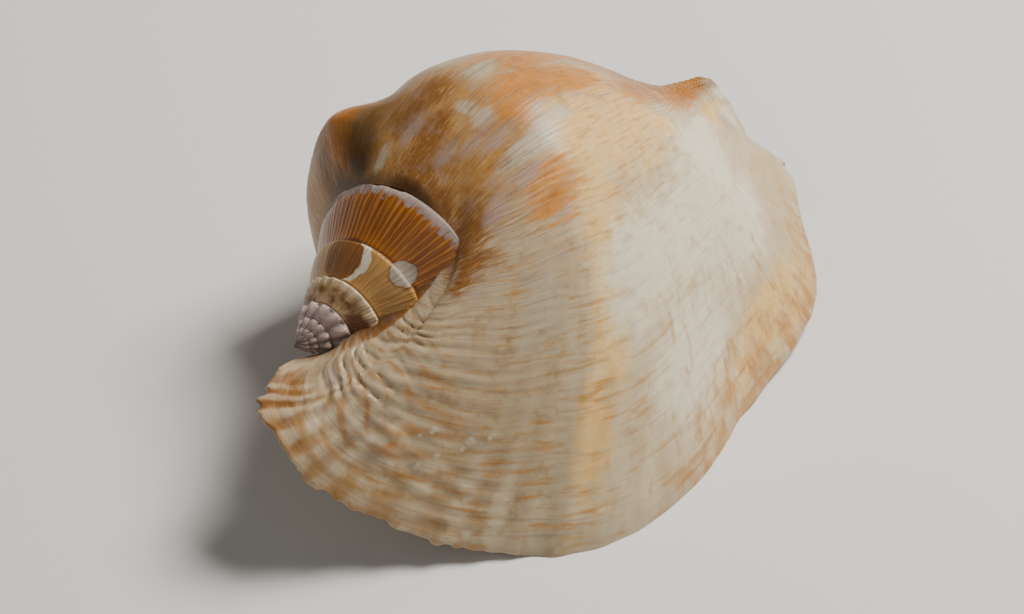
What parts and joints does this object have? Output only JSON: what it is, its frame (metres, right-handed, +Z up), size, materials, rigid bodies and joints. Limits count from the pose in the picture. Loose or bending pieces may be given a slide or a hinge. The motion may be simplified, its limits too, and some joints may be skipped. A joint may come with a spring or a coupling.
{
  "type": "conch shell",
  "caption": "Wide-lipped conch shell with a pointed spire, a knobbed shoulder and a broad flared wing over its mouth, resting mouth down.",
  "frame": {"origin": "on the table, under the middle of the shell's box", "axes": "+X along the coiling axis from the spire to the front canal, +Y away from the wing, +Z up, out of the shell's back"},
  "size_m": [0.1686, 0.113, 0.0778],
  "materials": {
    "shell": "satin, worn"
  },
  "bodies": {
    "root": {"shell": "shell"}
  },
  "joints": []
}
